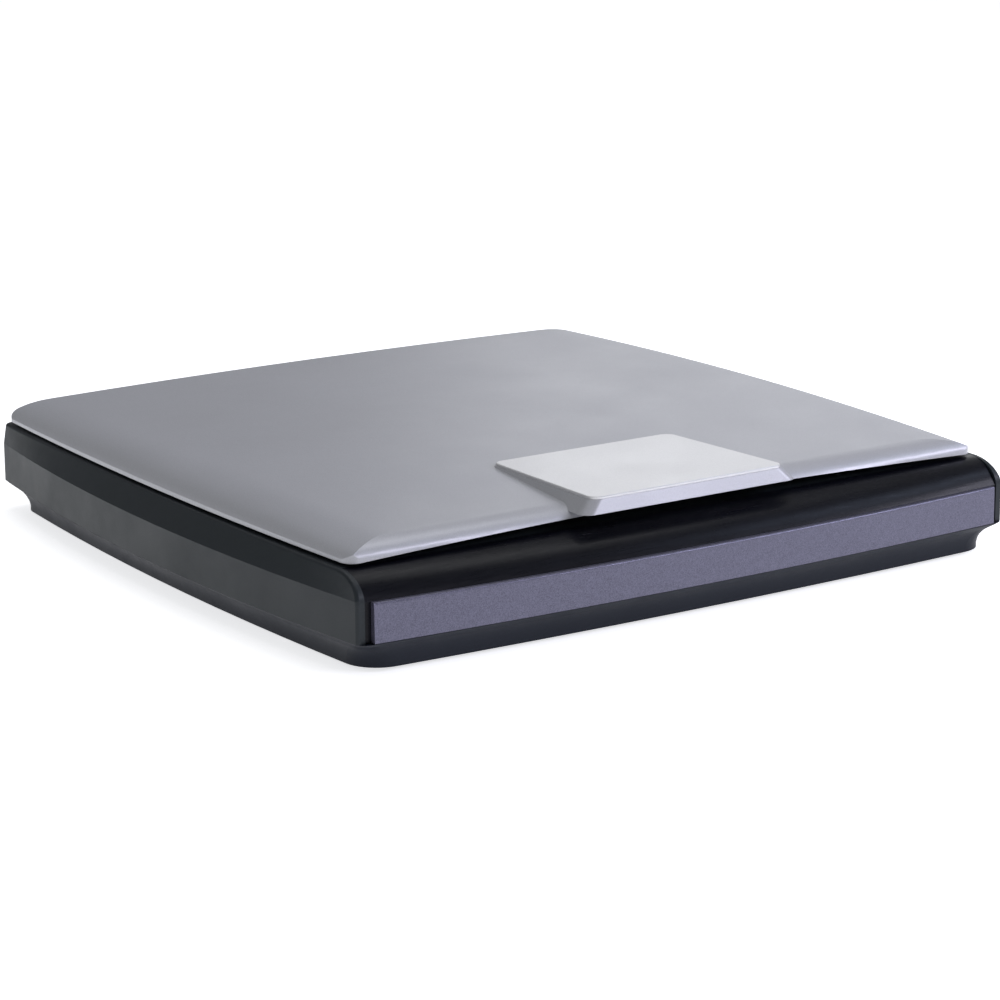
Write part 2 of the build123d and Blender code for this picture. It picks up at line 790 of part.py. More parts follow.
def case_screws():
    return [screw(x, y, foot_height + counterbore_depth, boss_top_z - foot_height - counterbore_depth + 7.0,
                  shank_radius=1.2, down=False) for x, y in case_screw_points]


def board_screws():
    return [screw(x, y, board_z + board_thick, 7.0, shank_radius=1.2) for x, y in board_post_points]


# ================================================================ carriage
cx0 = -carriage_x / 2
cx1 = carriage_x / 2
cy0 = carriage_home_y - carriage_y / 2
cy1 = carriage_home_y + carriage_y / 2
slot_half = 4.0
bushing_ys = (carriage_home_y - 13.0, carriage_home_y + 13.0)
bushing_length = 9.0
clamp_z = drive_z + belt_loop


def carriage_frame():
    top = carriage_top_z - cover_thick
    frame = block(cx0, cx1, cy0, cy1, carriage_low_z, top)
    frame -= block(cx0 + carriage_wall, cx1 - carriage_wall, cy0 + carriage_wall,
                   cy1 - carriage_wall, carriage_low_z + carriage_wall, top + 1)
    # bearing arm over the rod
    a0 = carriage_home_y - arm_y / 2
    a1 = carriage_home_y + arm_y / 2
    frame += block(rod_x - arm_half_x, cx0 + 1.0, a0, a1, rod_z - 8.0, rod_z + 8.0)
    frame -= rod_y_dir(rod_x, a0 - 1, a1 + 1, rod_z, rod_radius + 0.8)
    for y in bushing_ys:
        frame -= rod_y_dir(rod_x, y - bushing_length / 2, y + bushing_length / 2, rod_z, bushing_radius)
    # bracket out to the upper run of the belt
    frame += block(belt_x - belt_width / 2 - 1.0, rod_x - arm_half_x + 0.5,
                   carriage_home_y - 8, carriage_home_y + 8,
                   clamp_z - 4.0, clamp_z - 0.5)
    # arm over the slide rail
    frame += block(cx1 - 1.0, rail_x + 5.0, a0, a1, rail_top_z + 2.3, rail_top_z + 7.0)
    # flag for the home sensor
    frame += block(39.4, 40.6, cy1 - 0.5, cy1 + 5.0, carriage_low_z + 1.0, carriage_low_z + 7.0)
    for x, y in cover_screw_points:
        frame += post(x, y, carriage_low_z + 1, top, 3.0)
        frame -= post(x, y, top - 6.0, top + 1, 0.9)
    return frame


cover_screw_points = [
    (side * (carriage_x / 2 - 4.5), carriage_home_y + way * (carriage_y / 2 - 4.5))
    for side in (-1, 1) for way in (-1, 1)
]


def rod_bushings():
    sleeves = []
    for y in bushing_ys:
        sleeve = rod_y_dir(rod_x, y - bushing_length / 2, y + bushing_length / 2, rod_z, bushing_radius)
        sleeve -= rod_y_dir(rod_x, y - bushing_length, y + bushing_length, rod_z, rod_radius + running)
        sleeves.append(sleeve)
    return sleeves


def slider_pads():
    pads = []
    for way in (-1, 1):
        y = carriage_home_y + way * 13.0
        pads.append(block(rail_x - 3.0, rail_x + 3.0, y - 4.0, y + 4.0, rail_top_z + soft_gap,
                          rail_top_z + 2.3))
    return pads


def belt_clamp():
    """Cap that traps the belt on the carriage bracket, clear of the belt itself."""
    x0 = belt_x - belt_width / 2 - 1.0
    x1 = rod_x - arm_half_x
    y0 = carriage_home_y - 8
    y1 = carriage_home_y + 8
    cap = block(x0, x1, y0, y1, clamp_z - 0.5, clamp_z + 4.0)
    cap -= block(x0 - 1, belt_x + belt_width / 2 + 0.4, y0 - 1, y1 + 1,
                 clamp_z - 1, clamp_z + belt_thick + 0.4)
    return cap


def carriage_cover():
    cover = block(cx0, cx1, cy0, cy1, carriage_top_z - cover_thick, carriage_top_z)
    cover -= block(-window_x / 2, window_x / 2, carriage_home_y - slot_half,
                   carriage_home_y + slot_half, carriage_top_z - 5, carriage_top_z + 1)
    for x, y in cover_screw_points:
        cover -= post(x, y, carriage_top_z - 5, carriage_top_z + 1, 1.1)
    return cover


def light_bars():
    """Two lamp bars, one each side of the reading slot, just under the cover."""
    bars = []
    z1 = carriage_top_z - cover_thick
    for way in (-1, 1):
        inner = carriage_home_y + way * (slot_half - 1.0)
        outer = carriage_home_y + way * (slot_half + 6.0)
        bar = block(-window_x / 2 + 2, window_x / 2 - 2, min(inner, outer), max(inner, outer), z1 - 4.0, z1)
        edge = bar.edges().filter_by(Axis.X).sort_by_distance((0, inner, z1 - 4.0))[0]
        bars.append(chamfer(edge, 2.5))
    return bars


holder_x = carriage_x / 2 - 10.0
holder_wide = 3.5


def tilted_mirror(y, z, width, angle):
    """Long front-surface mirror along X between the holders, tilted about its own axis."""
    return Pos(0, y, z) * Rot(angle, 0, 0) * Box(2 * (holder_x - soft_gap), width, 2.0)


def mirror_first():
    return tilted_mirror(carriage_home_y, carriage_low_z + 7.5, 10.0, 40.0)


def mirror_second():
    return tilted_mirror(carriage_home_y - 17.0, carriage_low_z + 15.0, 10.0, 65.0)


def mirror_third():
    return tilted_mirror(carriage_home_y - 13.0, carriage_low_z + 5.0, 7.0, -8.0)


lens_z = carriage_low_z + 13.5


def mirror_holders():
    """Two end blocks that carry the three mirrors on the carriage floor."""
    blocks = []
    for side in (-1, 1):
        x0 = side * holder_x
        x1 = side * (holder_x + holder_wide)
        blocks.append(block(min(x0, x1), max(x0, x1), carriage_home_y - 21, carriage_home_y + 6,
                            carriage_low_z + carriage_wall, carriage_low_z + 20))
    return blocks


def lens_barrel():
    y0 = carriage_home_y + 7.0
    barrel = rod_y_dir(0, y0, y0 + 12.0, lens_z, 6.0)
    barrel += rod_y_dir(0, y0 + 8.0, y0 + 10.0, lens_z, 7.0)
    return barrel - rod_y_dir(0, y0 - 1, y0 + 13.0, lens_z, 4.5)


def lens_glass():
    y0 = carriage_home_y + 8.0
    return rod_y_dir(0, y0, y0 + 2.5, lens_z, 4.5)


def lens_seat():
    """V-block on the carriage floor under the lens."""
    y0 = carriage_home_y + 7.5
    seat = block(-9, 9, y0, y0 + 7.0, carriage_low_z + carriage_wall, lens_z - 1.0)
    return seat - rod_y_dir(0, y0 - 1, y0 + 9.0, lens_z, 6.0)


def sensor_board():
    y = cy1 - carriage_wall - 3.0
    return block(-34, 34, y - 1.2, y, carriage_low_z + carriage_wall, carriage_top_z - cover_thick - 1.0)


def line_sensor():
    y = cy1 - carriage_wall - 4.2
    return block(-22, 22, y - 3.0, y, lens_z - 4.0, lens_z + 4.0)


def cover_screws():
    return [screw(x, y, carriage_top_z, 6.0, head_radius=1.9, shank_radius=0.9)
            for x, y in cover_screw_points]


# ================================================================ lid
def lid_share(y):
    """1 in the middle of the lid's depth, 0 at its front and back."""
    return 1 - ((y - lid_mid_y) / lid_half_y) ** 2


def lid_section(y, inset):
    """Cross section of the lid at y: flat crown with soft elliptical shoulders."""
    edge_x = lid_corner_x + lid_side_bow * lid_share(y) - inset
    top = lid_edge_z + lid_low_rise + lid_crown * lid_share(y) - inset
    low = lid_edge_z - (1.0 if inset else 0.0)
    lip = lid_edge_z + lid_lip - inset * 0.4
    flat_x = edge_x - lid_round_x
    left = EllipticalCenterArc((-flat_x, lip), lid_round_x, top - lip, 90, arc_size=90)
    right = EllipticalCenterArc((flat_x, lip), lid_round_x, top - lip, 0, arc_size=90)
    edges = [
        left,
        Line((-edge_x, lip), (-edge_x, low)),
        Line((-edge_x, low), (edge_x, low)),
        Line((edge_x, low), (edge_x, lip)),
        right,
        ThreePointArc((flat_x, top), (0, top + lid_cross_crown), (-flat_x, top)),
    ]
    return xz_plane(y) * make_face(edges)


def lid_form(inset):
    """Solid lid: crowned front to back, with bowed sides, a bowed back and round corners."""
    y_first = lid_front_y - 1.0
    y_last = lid_back_y + lid_back_bow + 1.0
    stations = [y_first + (y_last - y_first) * s for s in (0.0, 0.25, 0.5, 0.75, 1.0)]
    body = loft([lid_section(y, inset) for y in stations])
    outline_x = lid_corner_x - lid_trim - inset
    outline = bowed_face(
        lid_edge_z - 5.0, outline_x, outline_x + lid_side_bow, outline_x, lid_mid_y,
        lid_front_y + inset, lid_back_y - inset, 0, lid_back_bow, lid_corner - inset)
    return body & extrude(outline, 40)


def lid_front_profile(inset):
    """Side view that rounds the front of the lid from its crown down to a short lip."""
    slope = 2 * lid_crown / lid_half_y
    run = 2 * lid_half_y + 30
    rise = lid_low_rise - lid_front_lip
    lean = math.atan(slope * lid_front_run / rise)
    centre_y = lid_front_y + lid_front_run
    centre_z = lid_edge_z + lid_front_lip + slope * lid_front_run
    brow = EllipticalCenterArc((centre_y, centre_z), lid_front_run - inset, rise - inset,
                               90 + math.degrees(lean), arc_size=90 - math.degrees(lean))
    far_y = centre_y + run
    start = brow @ 0
    foot = brow @ 1
    edges = [
        brow,
        Line(foot, (foot.X, lid_edge_z - 10)),
        Line((foot.X, lid_edge_z - 10), (far_y, lid_edge_z - 10)),
        Line((far_y, lid_edge_z - 10), (far_y, start.Y + slope * (far_y - start.X))),
        Line((far_y, start.Y + slope * (far_y - start.X)), start),
    ]
    return extrude(yz_plane(-half_width) * make_face(edges), overall_width)


def lid_outer():
    return lid_form(0.0) & lid_front_profile(0.0)


def lid_shell():
    shell = lid_outer() - (lid_form(lid_wall) & lid_front_profile(lid_wall))
    arch_half = lid_corner_x - 2.0
    arch = make_face([
        ThreePointArc((-arch_half, lid_edge_z), (0, lid_edge_z + lid_arch), (arch_half, lid_edge_z)),
        Line((arch_half, lid_edge_z), (arch_half, lid_edge_z - 5)),
        Line((arch_half, lid_edge_z - 5), (-arch_half, lid_edge_z - 5)),
        Line((-arch_half, lid_edge_z - 5), (-arch_half, lid_edge_z)),
    ])
    shell -= extrude(xz_plane(lid_front_y + 12.0) * arch, 24.0)
    for side in (-1, 1):
        x = side * hinge_x
        reach = post_width / 2 + ear_gap + ear_thick + 0.6
        shell -= block(x - reach, x + reach, lid_back_y - 6.0, back_y + 5,
                       lid_edge_z - 3, bracket_top_z + 0.2)
        for bx, by in bracket_screw_points(side):
            shell += lid_boss(bx, by, bracket_top_z)
            shell -= post(bx, by, bracket_top_z - 1, bracket_top_z + bracket_grip + 0.3, 1.1)
    for bx, by in panel_screw_points:
        shell += lid_boss(bx, by, panel_low_z + panel_thick)
        shell -= post(bx, by, panel_low_z, panel_low_z + panel_thick + panel_grip + 0.3, 1.1)
    return shell


bracket_top_z = lid_edge_z + 5.0
bracket_plate = 2.2
bracket_grip = 1.9           # screw length in the lid's boss
panel_grip = 3.5


def bracket_screw_points(side):
    x = side * hinge_x
    return [(x - 9.0, lid_back_y - 17.0), (x + 9.0, lid_back_y - 17.0)]


panel_screw_points = [
    (side * (window_x / 2 + 8.0), y)
    for side in (-1, 1)
    for y in (window_front_y - 4.0, window_centre_y, window_back_y + 45.0)
]


def lid_boss(x, y, z0):
    """Screw boss hanging from the lid skin."""
    share = lid_share(y)
    skin = lid_edge_z + lid_low_rise + lid_crown * share - lid_wall
    return post(x, y, z0, skin + 0.8, 3.0)


def handle_outline(z, inset, flare=0.0):
    """Plan of the handle: wider forward, with round corners; the flare spreads its sides and front."""
    side = flare * handle_flare_x - inset
    front_y = handle_front_y + inset - flare * handle_flare_y
    corners = Polyline(
        (-handle_half_back - side, handle_back_y - inset),
        (-handle_half_front - side, front_y),
        (handle_half_front + side, front_y),
        (handle_half_back + side, handle_back_y - inset), close=True)
    face = make_face(corners)
    return Pos(0, 0, z) * fillet(face.vertices(), handle_corner - inset)


def tilted(shape):
    """Lean the handle down towards the back about its upper front edge."""
    return shape.rotate(Axis((0, handle_front_y, handle_top_z), (1, 0, 0)), -handle_tilt)


def handle_body():
    """Flared skirt under the plate, open below in front of the lid for the fingers."""
    top_z = handle_top_z - plate_thick
    skirt = loft([handle_outline(handle_low_z, 0.0, 1.0), handle_outline(top_z, 0.0)], ruled=True)
    root = extrude(handle_outline(handle_low_z - 4.0, 0.0, 1.0), 4.0)
    reach = handle_half_front + handle_flare_x + 5
    under = block(-reach, reach, handle_front_y - 10, lid_front_y + 5.0,
                  lid_edge_z - 20, handle_low_z)
    body = tilted(skirt + root) - under - lid_outer()
    return body.solids().sort_by(SortBy.VOLUME)[-1]


def handle_plate():
    plate = extrude(handle_outline(handle_top_z - plate_thick, plate_reveal), plate_thick)
    plate = chamfer(plate.edges().group_by(Axis.Z)[-1], 0.4)
    plate = tilted(plate) - lid_outer()
    return plate.solids().sort_by(SortBy.VOLUME)[-1]


def lid_inner_panel():
    y0 = lid_front_y + 10.0
    y1 = lid_back_y - 28.0
    x = lid_corner_x - lid_wall - 8.0
    panel = block(-x, x, y0, y1, panel_low_z, panel_low_z + panel_thick)
    panel = fillet(panel.edges().filter_by(Axis.Z), 6.0)
    for bx, by in panel_screw_points:
        panel -= post(bx, by, panel_low_z - 1, panel_low_z + panel_thick + 1, 1.3)
    return panel


sheet_low_z = glass_top_z + soft_gap


def foam_pad():
    return Pos(0, window_centre_y, (sheet_low_z + sheet_thick + panel_low_z) / 2) * Box(
        window_x - 2 * pad_inset - 1, window_y - 2 * pad_inset - 1, panel_low_z - sheet_low_z - sheet_thick)


def white_sheet():
    return Pos(0, window_centre_y, sheet_low_z + sheet_thick / 2) * Box(
        window_x - 2 * pad_inset, window_y - 2 * pad_inset, sheet_thick)


def hinge_brackets():
    """Plate under the lid skin with two ears that reach back to the pin."""
    brackets = []
    for side in (-1, 1):
        x = side * hinge_x
        half = post_width / 2 + ear_gap + ear_thick
        y0 = lid_back_y - 23.0
        y1 = lid_back_y - 4.0
        part = block(x - half, x + half, y0, y1, bracket_top_z - bracket_plate, bracket_top_z)
        for way in (-1, 1):
            a = x + way * (post_width / 2 + ear_gap)
            b = a + way * ear_thick
            low, high = min(a, b), max(a, b)
            part += block(low, high, y1 - 4.0, hinge_y, hinge_z - 1.4, bracket_top_z)
            part += rod_x_dir(low, high, hinge_y, hinge_z, knuckle_radius)
        part -= rod_x_dir(x - half - 1, x + half + 1, hinge_y, hinge_z, pin_radius + running)
        for bx, by in bracket_screw_points(side):
            part -= post(bx, by, bracket_top_z - 5, bracket_top_z + 1, 1.3)
        brackets.append(part)
    return brackets


def bracket_screws():
    return [screw(bx, by, bracket_top_z - bracket_plate, bracket_plate + bracket_grip, head_radius=2.4,
                  shank_radius=1.1, down=False)
            for side in (-1, 1) for bx, by in bracket_screw_points(side)]


def panel_screws():
    return [screw(bx, by, panel_low_z, panel_thick + panel_grip,
                  head_radius=2.6, shank_radius=1.1, down=False)
            for bx, by in panel_screw_points]


bumper_points = [
    (side * (window_x / 2 + 14.0), y)
    for side in (-1, 1)
    for y in (lid_front_y + 16.0, lid_back_y - 36.0)
]


def lid_bumpers():
    """Rubber buttons under the panel that land on the bezel."""
    return [post(x, y, deck_z + soft_gap, panel_low_z, 4.0) for x, y in bumper_points]


# ================================================================ hinge posts
def hinge_posts():
    posts = []
    for side in (-1, 1):
        x = side * hinge_x
        blade = block(x - post_width / 2, x + post_width / 2, hinge_y - post_thick / 2,
                      hinge_y + post_thick / 2, post_low_z, hinge_z)
        part = blade + rod_x_dir(x - post_width / 2, x + post_width / 2, hinge_y, hinge_z, knuckle_radius)
        part -= rod_x_dir(x - 30, x + 30, hinge_y, hinge_z, pin_radius)
        posts.append(part)
    return posts


def hinge_pins():
    half = post_width / 2 + ear_gap + ear_thick
    return [rod_x_dir(side * hinge_x - half, side * hinge_x + half, hinge_y, hinge_z, pin_radius)
            for side in (-1, 1)]


# ================================================================ output
single_pieces = [
    bottom_tray, upper_housing, front_fascia, front_trim_band, platen_glass, glass_tape,
    calibration_strip, guide_rod, slide_rail, drive_gear, motor_pinion, motor_shaft, drive_motor,
    drive_bracket, gear_pin, drive_belt, idler_pulley, idler_bracket, idler_pin, main_board,
    ribbon_connector, usb_port, power_jack, home_sensor, carriage_ribbon, carriage_frame,
    belt_clamp, carriage_cover, mirror_first, mirror_second, mirror_third, lens_barrel, lens_glass,
    lens_seat, sensor_board, line_sensor, lid_shell, handle_body, handle_plate, lid_inner_panel,
    foam_pad, white_sheet,
]
grouped_pieces = [
    rod_clips, board_components, rubber_feet, case_screws, board_screws, rod_bushings, slider_pads,
    light_bars, mirror_holders, cover_screws, hinge_brackets, bracket_screws, panel_screws,
    lid_bumpers, hinge_posts, hinge_pins,
]
for piece in single_pieces:
    save(piece.__name__, piece())
for piece in grouped_pieces:
    save(piece.__name__, *piece())
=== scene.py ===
import json
import math

import bpy
import bmesh
from mathutils import Matrix, Vector


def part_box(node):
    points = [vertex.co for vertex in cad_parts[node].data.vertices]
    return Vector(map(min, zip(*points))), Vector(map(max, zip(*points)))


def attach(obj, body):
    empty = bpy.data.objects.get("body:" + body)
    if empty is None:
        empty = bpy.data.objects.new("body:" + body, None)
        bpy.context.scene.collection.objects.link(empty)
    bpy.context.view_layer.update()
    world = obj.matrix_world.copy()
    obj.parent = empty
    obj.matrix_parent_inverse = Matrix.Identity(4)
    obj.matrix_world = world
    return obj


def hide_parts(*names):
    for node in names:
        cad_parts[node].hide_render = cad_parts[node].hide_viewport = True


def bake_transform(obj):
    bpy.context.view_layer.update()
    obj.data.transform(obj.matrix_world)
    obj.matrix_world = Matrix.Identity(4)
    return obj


# Looks, light and camera for the flatbed scanner.  All lengths are in metres,
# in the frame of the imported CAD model.

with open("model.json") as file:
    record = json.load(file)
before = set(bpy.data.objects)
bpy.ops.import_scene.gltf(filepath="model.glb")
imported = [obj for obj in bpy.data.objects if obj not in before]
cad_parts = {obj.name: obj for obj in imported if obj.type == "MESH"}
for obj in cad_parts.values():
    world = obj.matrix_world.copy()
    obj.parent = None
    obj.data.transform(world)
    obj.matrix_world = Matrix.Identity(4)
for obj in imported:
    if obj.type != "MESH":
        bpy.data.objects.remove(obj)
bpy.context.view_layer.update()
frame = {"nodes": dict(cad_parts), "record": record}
cad = frame["nodes"]


# ================================================================ shader helpers
def coordinates(tree, stretch=(1.0, 1.0, 1.0)):
    """Coordinates in metres that move with the piece."""
    source = tree.nodes.new("ShaderNodeTexCoord")
    mapping = tree.nodes.new("ShaderNodeMapping")
    mapping.inputs["Scale"].default_value = stretch
    tree.links.new(source.outputs["Object"], mapping.inputs["Vector"])
    return mapping.outputs["Vector"]


def noise(tree, vector, scale, detail=2.0, roughness=0.5):
    """Soft noise; the scale is in waves a metre."""
    node = tree.nodes.new("ShaderNodeTexNoise")
    node.inputs["Scale"].default_value = scale
    node.inputs["Detail"].default_value = detail
    node.inputs["Roughness"].default_value = roughness
    tree.links.new(vector, node.inputs["Vector"])
    return node.outputs["Fac"]


def cells(tree, vector, scale, output="Color"):
    """Cell noise: the colour of each cell, or the distance from its centre."""
    node = tree.nodes.new("ShaderNodeTexVoronoi")
    node.inputs["Scale"].default_value = scale
    tree.links.new(vector, node.inputs["Vector"])
    return node.outputs[output]


def waves(tree, vector, scale):
    """Even bands across X."""
    node = tree.nodes.new("ShaderNodeTexWave")
    node.bands_direction = "X"
    node.inputs["Scale"].default_value = scale
    node.inputs["Distortion"].default_value = 0.0
    tree.links.new(vector, node.inputs["Vector"])
    return node.outputs["Fac"]


def ramp(tree, factor, *stops):
    """Colour ramp; each stop is (position, colour or grey value)."""
    node = tree.nodes.new("ShaderNodeValToRGB")
    elements = node.color_ramp.elements
    while len(elements) < len(stops):
        elements.new(0.5)
    for element, (position, colour) in zip(elements, stops):
        if isinstance(colour, float):
            colour = (colour, colour, colour)
        element.position = position
        element.color = (*colour, 1.0)
    tree.links.new(factor, node.inputs["Fac"])
    return node.outputs["Color"]


def blend_colours(tree, factor, first, second):
    """Mix two colour sockets by a factor socket or by a number."""
    node = tree.nodes.new("ShaderNodeMix")
    node.data_type = "RGBA"
    if isinstance(factor, float):
        node.inputs["Factor"].default_value = factor
    else:
        tree.links.new(factor, node.inputs["Factor"])
    tree.links.new(first, node.inputs["A"])
    tree.links.new(second, node.inputs["B"])
    return node.outputs["Result"]


def bump(tree, height, depth, strength=1.0, normal=None):
    """Relief of the given depth in metres, on top of another relief if one is given."""
    node = tree.nodes.new("ShaderNodeBump")
    node.inputs["Strength"].default_value = strength
    node.inputs["Distance"].default_value = depth
    tree.links.new(height, node.inputs["Height"])
    if normal is not None:
        tree.links.new(normal, node.inputs["Normal"])
    return node.outputs["Normal"]


def shader(name, **values):
    """New material; the values are set on its Principled sockets."""
    material = bpy.data.materials.new(name)
    material.use_nodes = True
    tree = material.node_tree
    principled = tree.nodes["Principled BSDF"]
    for socket, value in values.items():
        principled.inputs[socket.replace("_", " ")].default_value = value
    return material, tree, principled


def darker(colour, share):
    """The colour times a share; above 1 it is lighter."""
    return tuple(channel * share for channel in colour)


# ================================================================ materials
def moulded(name, colour, rough, grain=2600.0, depth=0.00003, spread=0.12, **values):
    """Moulded plastic: fine spark-eroded grain, faint flow shading and handling marks."""
    material, tree, principled = shader(name, **values)
    place = coordinates(tree)
    shade = ramp(tree, noise(tree, place, 9.0, 4.0),
                 (0.3, darker(colour, 1.0 - spread)), (0.7, darker(colour, 1.0 + spread)))
    speck = ramp(tree, noise(tree, place, grain * 0.6, 2.0),
                 (0.35, darker(colour, 0.85)), (0.65, darker(colour, 1.15)))
    tree.links.new(blend_colours(tree, 0.4, shade, speck), principled.inputs["Base Color"])
    marks = ramp(tree, noise(tree, place, 22.0, 6.0, 0.65),
                 (0.35, max(rough - 0.06, 0.02)), (0.7, min(rough + 0.08, 1.0)))
    tree.links.new(marks, principled.inputs["Roughness"])
    fine = bump(tree, noise(tree, place, grain, 3.0, 0.6), depth)
    tree.links.new(fine, principled.inputs["Normal"])
    return material


def painted(name, colour, rough, metallic, flake=5200.0, sparkle=0.25, depth=0.00002, **values):
    """Metal-effect paint: tiny flakes of uneven brightness under a satin skin."""
    material, tree, principled = shader(name, Metallic=metallic, **values)
    place = coordinates(tree)
    tone = ramp(tree, noise(tree, place, 5.0, 3.0),
                (0.3, darker(colour, 0.96)), (0.7, darker(colour, 1.04)))
    flakes = ramp(tree, cells(tree, place, flake),
                  (0.2, darker(colour, 1.0 - sparkle)), (0.8, darker(colour, 1.0 + sparkle)))
    tree.links.new(blend_colours(tree, 0.5, tone, flakes), principled.inputs["Base Color"])
    marks = ramp(tree, noise(tree, place, 16.0, 7.0, 0.7),
                 (0.3, max(rough - 0.04, 0.02)), (0.75, rough + 0.07))
    tree.links.new(marks, principled.inputs["Roughness"])
    skin = bump(tree, noise(tree, place, flake * 0.5, 2.0), depth)
    tree.links.new(skin, principled.inputs["Normal"])
    return material


def glossy_black(name):
    """Polished black plastic with hairline wipe marks and a trace of dust."""
    material, tree, principled = shader(name, Specular_IOR_Level=0.15)
    place = coordinates(tree)
    tint = ramp(tree, noise(tree, place, 14.0, 3.0),
                (0.3, (0.0014, 0.0016, 0.0036)), (0.7, (0.0030, 0.0034, 0.0070)))
    tree.links.new(tint, principled.inputs["Base Color"])
    wipes = noise(tree, coordinates(tree, (0.06, 1.0, 1.0)), 900.0, 3.0, 0.7)
    tree.links.new(ramp(tree, wipes, (0.35, 0.27), (0.75, 0.37)), principled.inputs["Roughness"])
    tree.links.new(bump(tree, wipes, 0.000004), principled.inputs["Normal"])
    return material


def clear_glass(name):
    """Float glass with a faint green body and wipe marks."""
    material, tree, principled = shader(name, IOR=1.52, Transmission_Weight=1.0)
    place = coordinates(tree)
    tint = ramp(tree, noise(tree, place, 3.0, 2.0),
                (0.3, (0.90, 0.97, 0.95)), (0.7, (0.93, 0.98, 0.965)))
    tree.links.new(tint, principled.inputs["Base Color"])
    smears = noise(tree, coordinates(tree, (1.0, 0.2, 1.0)), 35.0, 6.0, 0.7)
    tree.links.new(ramp(tree, smears, (0.45, 0.0), (0.85, 0.05)), principled.inputs["Roughness"])
    return material


def metal(name, colour, rough, stretch, scale=700.0, depth=0.000006):
    """Drawn, ground or plated metal; the grain runs along the axis with the small factor."""
    material, tree, principled = shader(name, Metallic=1.0)
    lines = noise(tree, coordinates(tree, stretch), scale, 3.0, 0.6)
    tree.links.new(ramp(tree, lines, (0.3, darker(colour, 0.86)), (0.7, darker(colour, 1.08))),
                   principled.inputs["Base Color"])
    tarnish = noise(tree, coordinates(tree), 120.0, 5.0, 0.7)
    tree.links.new(ramp(tree, tarnish, (0.3, max(rough - 0.07, 0.03)), (0.7, rough + 0.1)),
                   principled.inputs["Roughness"])
    tree.links.new(bump(tree, lines, depth), principled.inputs["Normal"])
    return material


def soft_rubber(name, colour):
    """Matt rubber with a pale bloom."""
    material, tree, principled = shader(name, Specular_IOR_Level=0.3)
    place = coordinates(tree)
    bloom = noise(tree, place, 160.0, 6.0, 0.7)
    tree.links.new(ramp(tree, bloom, (0.3, colour), (0.75, darker(colour, 2.0))),
                   principled.inputs["Base Color"])
    tree.links.new(ramp(tree, bloom, (0.3, 0.6), (0.7, 0.85)), principled.inputs["Roughness"])
    tree.links.new(bump(tree, noise(tree, place, 1800.0, 3.0), 0.00003), principled.inputs["Normal"])
    return material


def circuit_board(name):
    """Green solder mask with fine copper tracks showing through and rows of tinned pads."""
    material, tree, principled = shader(name)
    place = coordinates(tree)
    tracks = cells(tree, coordinates(tree, (1.0, 0.25, 1.0)), 420.0, "Distance")
    mask = ramp(tree, tracks, (0.08, (0.050, 0.21, 0.085)), (0.16, (0.012, 0.085, 0.03)))
    pads = cells(tree, place, 620.0, "Distance")
    tin = ramp(tree, pads, (0.10, (0.62, 0.62, 0.60)), (0.14, (0.012, 0.085, 0.03)))
    share = ramp(tree, noise(tree, place, 70.0, 2.0), (0.60, 0.0), (0.64, 1.0))
    tree.links.new(blend_colours(tree, share, mask, tin), principled.inputs["Base Color"])
    tree.links.new(ramp(tree, pads, (0.1, 0.25), (0.2, 0.42)), principled.inputs["Roughness"])
    tree.links.new(bump(tree, tracks, 0.00003, 0.6), principled.inputs["Normal"])
    return material


def flat_cable(name):
    """Flexible cable: tinned conductors under a clear film, every two millimetres."""
    material, tree, principled = shader(name, Roughness=0.35)
    place = coordinates(tree)
    stripes = waves(tree, place, 157.0)
    tree.links.new(ramp(tree, stripes, (0.35, (0.42, 0.42, 0.40)), (0.65, (0.80, 0.79, 0.74))),
                   principled.inputs["Base Color"])
    tree.links.new(ramp(tree, noise(tree, place, 300.0, 3.0), (0.3, 0.28), (0.7, 0.45)),
                   principled.inputs["Roughness"])
    tree.links.new(bump(tree, stripes, 0.00005, 0.8), principled.inputs["Normal"])
    return material


def foam(name):
    """Open-cell foam: small pores over a soft uneven skin, with painted shade in the pores."""
    material, tree, principled = shader(name, Specular_IOR_Level=0.1)
    place = coordinates(tree)
    pores = cells(tree, place, 1400.0, "Distance")
    # painted shade: the pits of the pores are coloured darker than the skin
    tree.links.new(ramp(tree, pores, (0.1, (0.50, 0.50, 0.48)), (0.45, (0.78, 0.78, 0.755))),
                   principled.inputs["Base Color"])
    tree.links.new(ramp(tree, pores, (0.1, 0.95), (0.6, 0.8)), principled.inputs["Roughness"])
    swell = bump(tree, noise(tree, place, 90.0, 3.0), 0.0002, 0.5)
    tree.links.new(bump(tree, pores, 0.00015, 0.8, swell), principled.inputs["Normal"])
    return material


def light_guide(name):
    """Milky acrylic bar with a moulded diffusing grain."""
    material, tree, principled = shader(name, Subsurface_Weight=0.35, Coat_Weight=0.4)
    place = coordinates(tree)
    prisms = waves(tree, place, 300.0)
    principled.inputs["Subsurface Radius"].default_value = (0.003, 0.003, 0.003)
    tree.links.new(ramp(tree, prisms, (0.2, (0.80, 0.84, 0.88)), (0.8, (0.90, 0.93, 0.95))),
                   principled.inputs["Base Color"])
    tree.links.new(ramp(tree, noise(tree, place, 400.0, 2.0), (0.3, 0.18), (0.7, 0.34)),
                   principled.inputs["Roughness"])
    tree.links.new(bump(tree, prisms, 0.00004, 0.6), principled.inputs["Normal"])
    return material


def mirror(name):
    """Silvered glass with a trace of dust."""
    material, tree, principled = shader(name, Metallic=1.0)
    place = coordinates(tree)
    tree.links.new(ramp(tree, noise(tree, place, 30.0, 3.0),
                        (0.3, (0.86, 0.87, 0.88)), (0.7, (0.91, 0.92, 0.925))),
                   principled.inputs["Base Color"])
    dust = noise(tree, place, 700.0, 5.0, 0.7)
    tree.links.new(ramp(tree, dust, (0.55, 0.015), (0.8, 0.12)), principled.inputs["Roughness"])
    return material


